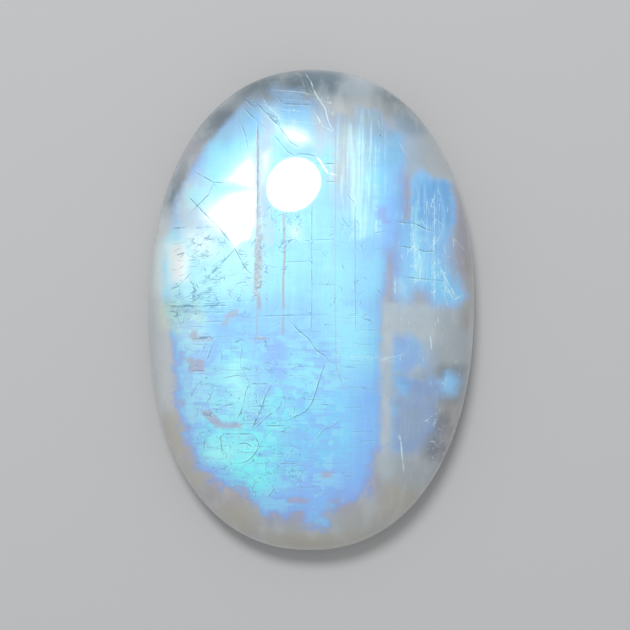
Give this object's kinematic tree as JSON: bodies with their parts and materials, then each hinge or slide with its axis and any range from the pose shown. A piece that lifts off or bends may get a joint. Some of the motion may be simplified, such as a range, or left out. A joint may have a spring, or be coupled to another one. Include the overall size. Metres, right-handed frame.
{
  "type": "moonstone cabochon",
  "caption": "Oval domed cabochon of polished moonstone with a flat back, a low upright girdle and a smooth high dome, for setting in a bezel or resting on a surface.",
  "frame": {"origin": "middle of the flat back", "axes": "+Z out of the back towards the dome's crown, +Y along the stone's length towards its upper end in the picture, +X across its width"},
  "size_m": [0.024, 0.0354, 0.0076],
  "materials": {
    "moonstone": "polished milky feldspar with a blue inner glow and fine cleavage cracks"
  },
  "bodies": {
    "root": {"moonstone": "moonstone"}
  },
  "joints": []
}
